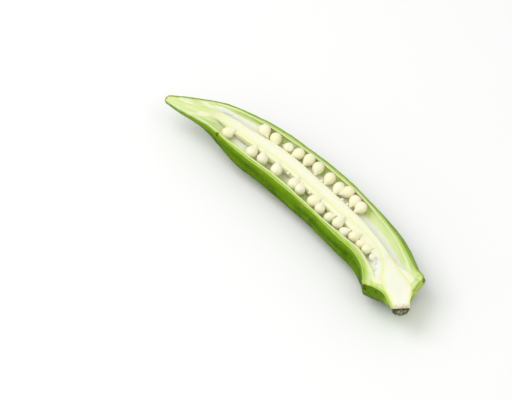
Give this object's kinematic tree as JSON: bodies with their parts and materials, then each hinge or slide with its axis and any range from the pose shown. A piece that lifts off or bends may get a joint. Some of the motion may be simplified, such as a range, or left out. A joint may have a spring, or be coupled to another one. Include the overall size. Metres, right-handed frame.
{
  "type": "halved okra pod",
  "caption": "Half of a fresh okra pod cut lengthwise, lying cut face up: ridged green wall, two open seed chambers, pale core with rows of round seeds, tapering tip and short stem end.",
  "frame": {"origin": "under the middle of the bounding box, at the level of the flat that the pod stands on", "axes": "+X from the tip towards the stem end, +Z out of the cut face, +Y towards the outer side of the pod's bend"},
  "size_m": [0.1294, 0.0302, 0.0138],
  "materials": {
    "green_wall": "satin skin outside, moist pale green flesh on the cut",
    "cream_seeds": "moist, slightly glossy"
  },
  "bodies": {
    "root": {"pod_wall": "green_wall", "seed_column": "cream_seeds"}
  },
  "joints": []
}
